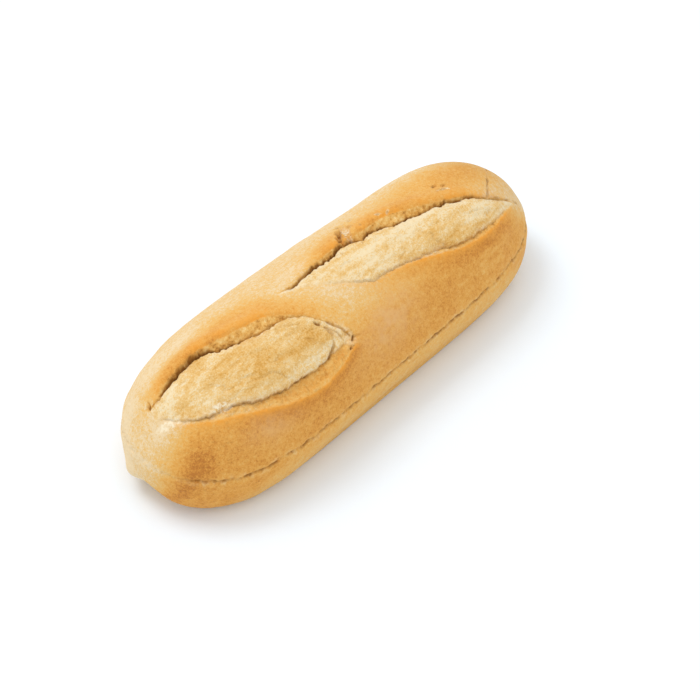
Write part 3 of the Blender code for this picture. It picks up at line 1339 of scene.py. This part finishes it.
class Bench:
    """Adds nodes to a tree, one short call for each."""

    def __init__(self, tree: bpy.types.NodeTree) -> None:
        """Keep the tree."""
        self.tree = tree

    def _set(self, socket: Socket, value: Value) -> None:
        """Link the socket to a value that is a socket, or else store the value.

        Args:
            socket: The input to feed.
            value: What feeds it.
        """
        if isinstance(value, Socket):
            self.tree.links.new(value, socket)
        elif isinstance(value, tuple):
            socket.default_value = (*value, 1.0)
        else:
            socket.default_value = value

    def math(self, operation: str, first: Value, second: Value, clamp: bool = False) -> Socket:
        """Combine two numbers.

        Args:
            operation: Name of the operation.
            first: The first number.
            second: The second number.
            clamp: Whether the result is kept between 0 and 1.

        Returns:
            The result.
        """
        node = self.tree.nodes.new("ShaderNodeMath")
        node.operation = operation
        node.use_clamp = clamp
        self._set(node.inputs[0], first)
        self._set(node.inputs[1], second)
        return node.outputs[0]

    def product(self, first: Value, second: Value) -> Socket:
        """Multiply two numbers."""
        return self.math("MULTIPLY", first, second)

    def total(self, *values: Value) -> Socket:
        """Add several numbers.

        Args:
            values: The numbers, at least two.

        Returns:
            Their sum.
        """
        result = values[0]
        for value in values[1:]:
            result = self.math("ADD", result, value)
        return result

    def mix(self, share: Value, first: Value, second: Value) -> Socket:
        """Blend two colours.

        Args:
            share: Share of the second colour.
            first: The colour where the share is 0.
            second: The colour where it is 1.

        Returns:
            The blend.
        """
        node = self.tree.nodes.new("ShaderNodeMix")
        node.data_type = "RGBA"
        self._set(node.inputs["Factor"], share)
        self._set(node.inputs[6], first)
        self._set(node.inputs[7], second)
        return node.outputs[2]

    def spread(self, value: Value, old: tuple[float, float], new: tuple[float, float]) -> Socket:
        """Carry a range of numbers to another range, clamped.

        Args:
            value: The number.
            old: Lowest and highest number of its range.
            new: The two numbers they become.

        Returns:
            The new number.
        """
        node = self.tree.nodes.new("ShaderNodeMapRange")
        for index, item in enumerate((value, *old, *new)):
            self._set(node.inputs[index], item)
        return node.outputs[0]

    def place(self, stretch: tuple[float, float, float] = (1.0, 1.0, 1.0),
              turn: float = 0.0) -> Socket:
        """Read Object coordinates, turned about Z and stretched.

        Args:
            stretch: Factor for each axis.
            turn: Turn about Z, radians.

        Returns:
            The coordinates.
        """
        coordinate = self.tree.nodes.new("ShaderNodeTexCoord")
        mapping = self.tree.nodes.new("ShaderNodeMapping")
        mapping.inputs["Rotation"].default_value = (0.0, 0.0, turn)
        mapping.inputs["Scale"].default_value = stretch
        self.tree.links.new(coordinate.outputs["Object"], mapping.inputs["Vector"])
        return mapping.outputs[0]

    def noise(self, where: Socket, scale: float, detail: float = 3.0,
              roughness: float = 0.55) -> Socket:
        """Make soft noise.

        Args:
            where: Coordinates.
            scale: Lumps in each metre.
            detail: How many finer layers it has.
            roughness: Strength of the finer layers.

        Returns:
            Noise from 0 to 1.
        """
        node = self.tree.nodes.new("ShaderNodeTexNoise")
        for name, value in (("Vector", where), ("Scale", scale),
                            ("Detail", detail), ("Roughness", roughness)):
            self._set(node.inputs[name], value)
        return node.outputs["Fac"]

    def swings(self, where: Socket, *layers: tuple[float, float, float, float]) -> Socket:
        """Add up layers of noise that swing about 0.

        Args:
            where: Coordinates.
            layers: Scale, detail, roughness and amount of each layer.

        Returns:
            The sum.
        """
        swings = []
        for scale, detail, roughness, amount in layers:
            centred = self.math("SUBTRACT", self.noise(where, scale, detail, roughness), 0.5)
            swings.append(self.product(centred, amount))
        return self.total(*swings)

    def cells(self, where: Socket, scale: float) -> Socket:
        """Measure the distance to the nearest of scattered centres.

        Args:
            where: Coordinates.
            scale: Centres in each metre.

        Returns:
            Distance, from 0 at a centre to about 1.
        """
        node = self.tree.nodes.new("ShaderNodeTexVoronoi")
        self._set(node.inputs["Vector"], where)
        self._set(node.inputs["Scale"], scale)
        return node.outputs["Distance"]

    def ramp(self, value: Value, stops: Stops) -> Socket:
        """Turn a number into a colour.

        Args:
            value: The number.
            stops: Numbers and the colours they become.

        Returns:
            The colour.
        """
        node = self.tree.nodes.new("ShaderNodeValToRGB")
        self._set(node.inputs[0], value)
        elements = node.color_ramp.elements
        while len(elements) < len(stops):
            elements.new(0.5)
        for element, (position, colour) in zip(elements, stops):
            element.position = position
            element.color = (*colour, 1.0)
        return node.outputs["Color"]

    def share(self, bake: Bake) -> Socket:
        """Read what the oven did, or the shade or light painted there.

        Args:
            bake: Which mark.

        Returns:
            The mark's value.
        """
        node = self.tree.nodes.new("ShaderNodeAttribute")
        node.attribute_name = bake.value
        return node.outputs["Fac"]


@dataclass(frozen=True)
class BakedCrust:
    """Finish of the loaf: dry, matt crust with burst crumb."""

    palette: Palette = Palette()
    roughness: float = 0.62
    crumb_roughness: float = 0.85
    roughness_swing: float = 0.08
    shine: float = 0.12
    crease_cover: float = 0.85       # how much of the crust's colour the crease hides
    skin_relief: float = 0.48        # millimetres, as are the next two
    blister_relief: tuple[float, float] = (0.05, 0.32)
    crumb_relief: float = 0.62
    flow_turn: float = 19.0          # degrees from X that the burst crumb's streaks run
    flow_stretch: float = 0.22

    def material(self) -> bpy.types.Material:
        """Make the material.

        Returns:
            The crust's material.
        """
        material = bpy.data.materials.new("baked_crust")
        material.use_nodes = True
        bench = Bench(material.node_tree)
        shader = material.node_tree.nodes["Principled BSDF"]
        shares = {bake: bench.share(bake) for bake in Bake}
        links = material.node_tree.links
        links.new(self._colour(bench, shares), shader.inputs["Base Color"])
        links.new(self._roughness(bench, shares), shader.inputs["Roughness"])
        links.new(self._bump(bench, shares), shader.inputs["Normal"])
        shader.inputs["Specular IOR Level"].default_value = self.shine
        return material

    def _colour(self, bench: Bench, shares: dict[Bake, Socket]) -> Socket:
        """Lay the colours over each other, from plain crust to the dark of the gaps, which is partly
        painted shade.

        Args:
            bench: The material's bench.
            shares: What the oven did, and where shade or light is painted.

        Returns:
            The colour.
        """
        tone = self.palette
        space = bench.place()
        tear = bench.ramp(bench.noise(space, 480.0, 4.0, 0.7), tone.tear)
        colour = bench.mix(shares[Bake.TEAR], self._crust(bench, shares, space), tear)
        colour = bench.mix(shares[Bake.BLOOM], colour, self._dough(bench, shares, space))
        speckle = bench.spread(bench.noise(space, 620.0, 3.0, 0.75), (0.40, 0.60), (0.0, 1.0))
        colour = bench.mix(bench.product(shares[Bake.FLOUR], speckle), colour, tone.flour)
        crease = bench.product(shares[Bake.CREASE], self.crease_cover)
        colour = bench.mix(crease, colour, tone.crease)
        # painted shade: the gaps' dark over their darker crumb, and the dulled +X end
        return bench.mix(shares[Bake.GAP], colour, tone.gap)

    def _crust(self, bench: Bench, shares: dict[Bake, Socket], space: Socket) -> Socket:
        """Colour the unbroken crust by its heat and its painted side shading, with blush and amber on it.

        Args:
            bench: The material's bench.
            shares: What the oven did, and where shade or light is painted.
            space: Object coordinates.

        Returns:
            The colour.
        """
        tone = self.palette
        speckle = bench.swings(space, (60.0, 2.0, 0.55, 0.22), (210.0, 3.0, 0.6, 0.28),
                               (700.0, 3.0, 0.75, 0.90), (1700.0, 2.0, 0.7, 0.80))
        crust = bench.ramp(bench.total(shares[Bake.HEAT], speckle), tone.crust)
        patchy = bench.spread(bench.noise(space, 260.0), (0.35, 0.6), (0.35, 1.0))
        crust = bench.mix(bench.product(shares[Bake.BLUSH], patchy), crust, tone.blush)
        patchy = bench.spread(bench.noise(space, 420.0, 3.0, 0.6), (0.36, 0.56), (0.45, 1.0))
        return bench.mix(bench.product(shares[Bake.AMBER], patchy), crust, tone.amber)

    def _dough(self, bench: Bench, shares: dict[Bake, Socket], space: Socket) -> Socket:
        """Colour the burst crumb, in streaks along the slashes.

        Args:
            bench: The material's bench.
            shares: What the oven did.
            space: Object coordinates.

        Returns:
            The colour.
        """
        flow = bench.place((self.flow_stretch, 1.0, 1.0), math.radians(self.flow_turn))
        heat = bench.total(bench.spread(shares[Bake.HEAT], (0.0, 0.7), (0.16, 0.62)),
                           bench.swings(flow, (170.0, 3.0, 0.6, 1.90)),
                           bench.swings(space, (90.0, 2.0, 0.55, 0.70), (600.0, 3.0, 0.75, 1.05),
                                        (1600.0, 2.0, 0.7, 1.35)))
        return bench.ramp(heat, self.palette.dough)

    def _roughness(self, bench: Bench, shares: dict[Bake, Socket]) -> Socket:
        """Make crumb duller than crust, and neither of them even.

        Args:
            bench: The material's bench.
            shares: What the oven did.

        Returns:
            The roughness.
        """
        torn = bench.math("ADD", shares[Bake.BLOOM], shares[Bake.TEAR], clamp=True)
        base = bench.spread(torn, (0.0, 1.0), (self.roughness, self.crumb_roughness))
        swing = (-self.roughness_swing, self.roughness_swing)
        grain = bench.spread(bench.noise(bench.place(), 160.0), (0.3, 0.7), swing)
        return bench.math("ADD", base, grain, clamp=True)

    def _bump(self, bench: Bench, shares: dict[Bake, Socket]) -> Socket:
        """Raise skin and blisters on the crust, and rough grain on the crumb.

        Args:
            bench: The material's bench.
            shares: What the oven did.

        Returns:
            The normal.
        """
        space = bench.place()
        torn = bench.math("ADD", shares[Bake.BLOOM], shares[Bake.TEAR], clamp=True)
        plain = bench.math("SUBTRACT", 1.0, torn, clamp=True)
        skin = bench.product(bench.noise(space, 560.0, 4.0, 0.65), self.skin_relief)
        bubbles = bench.spread(bench.cells(space, 640.0), (0.0, 0.50), (1.0, 0.0))
        size = bench.spread(shares[Bake.BLISTER], (0.0, 1.0), self.blister_relief)
        crumb = bench.product(bench.noise(space, 700.0, 4.0, 0.65), self.crumb_relief)
        crust = bench.total(skin, bench.product(bubbles, size))
        height = bench.total(bench.product(crust, plain), bench.product(crumb, torn))
        node = bench.tree.nodes.new("ShaderNodeBump")
        node.inputs["Strength"].default_value = 1.0
        node.inputs["Distance"].default_value = MM
        bench.tree.links.new(height, node.inputs["Height"])
        return node.outputs["Normal"]


@dataclass(frozen=True)
class Studio:
    """Pale table, soft light and the camera."""

    yaw: float = math.radians(47.95)         # camera's turn from +Y towards +X
    pitch: float = math.radians(45.0)        # how far it looks down
    distance: float = 0.800
    lens: float = 105.24                     # millimetres, on a 36 mm sensor
    aim_height: float = 0.020
    aim_right: float = 0.0061
    aim_up: float = -0.01089
    table_size: float = 6.0
    table_drop: float = 0.0002               # keeps the table's top clear of the base
    table_colour: Colour = (0.868, 0.93, 0.985)
    sky_colour: Colour = (0.99, 1.0, 1.01)
    sky_strength: float = 0.985
    key_place: tuple[float, float, float] = (-0.22, 0.55, 1.20)
    key_size: float = 0.6
    key_power: float = 5.0                   # watts

    def build(self) -> None:
        """Set the table, the lights and the camera."""
        self._table()
        self._lights()
        self._camera()
        bpy.context.scene.view_settings.view_transform = "Standard"

    def _table(self) -> None:
        """Add a plain pale table top."""
        bpy.ops.object.select_all(action="DESELECT")
        bpy.ops.mesh.primitive_plane_add(size=self.table_size, location=(0.0, 0.0, -self.table_drop))
        table = bpy.context.object
        table.name = "table_top"
        material = bpy.data.materials.new("pale_table")
        material.use_nodes = True
        shader = material.node_tree.nodes["Principled BSDF"]
        shader.inputs["Base Color"].default_value = (*self.table_colour, 1.0)
        shader.inputs["Roughness"].default_value = 0.9
        shader.inputs["Specular IOR Level"].default_value = 0.1
        table.data.materials.append(material)

    def _lights(self) -> None:
        """Add a bright, even sky and one large soft light from behind the loaf."""
        world = bpy.data.worlds.new("studio")
        world.use_nodes = True
        background = world.node_tree.nodes["Background"]
        background.inputs["Color"].default_value = (*self.sky_colour, 1.0)
        background.inputs["Strength"].default_value = self.sky_strength
        bpy.context.scene.world = world
        light = bpy.data.lights.new("key", "AREA")
        light.size = self.key_size
        light.energy = self.key_power
        lamp = bpy.data.objects.new("key", light)
        lamp.location = self.key_place
        lamp.rotation_euler = (-Vector(self.key_place)).to_track_quat("-Z", "Y").to_euler()
        bpy.context.scene.collection.objects.link(lamp)

    def _camera(self) -> None:
        """Add the camera, looking down at the loaf from the near left."""
        forward = Vector((math.sin(self.yaw) * math.cos(self.pitch),
                          math.cos(self.yaw) * math.cos(self.pitch), -math.sin(self.pitch)))
        right = Vector((math.cos(self.yaw), -math.sin(self.yaw), 0.0))
        up = right.cross(forward)
        aim = Vector((0.0, 0.0, self.aim_height)) + right * self.aim_right + up * self.aim_up
        data = bpy.data.cameras.new("camera")
        data.lens = self.lens
        data.clip_start = 0.01
        camera = bpy.data.objects.new("camera", data)
        camera.location = aim - forward * self.distance
        camera.rotation_euler = forward.to_track_quat("-Z", "Y").to_euler()
        bpy.context.scene.collection.objects.link(camera)
        bpy.context.scene.camera = camera


def main() -> None:
    """Build the crust and its surroundings, in order."""
    logging.basicConfig(level=logging.INFO, format="%(message)s")
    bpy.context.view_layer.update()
    crust = Crust(LoafForm.from_frame())
    piece = crust.build()
    piece.data.materials.append(BakedCrust().material())
    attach(piece, BODY)
    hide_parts(NODE)
    piece.data.calc_loop_triangles()
    LOG.info("%s: %d triangles", piece.name, len(piece.data.loop_triangles))
    Studio().build()


if __name__ == "__main__":
    main()
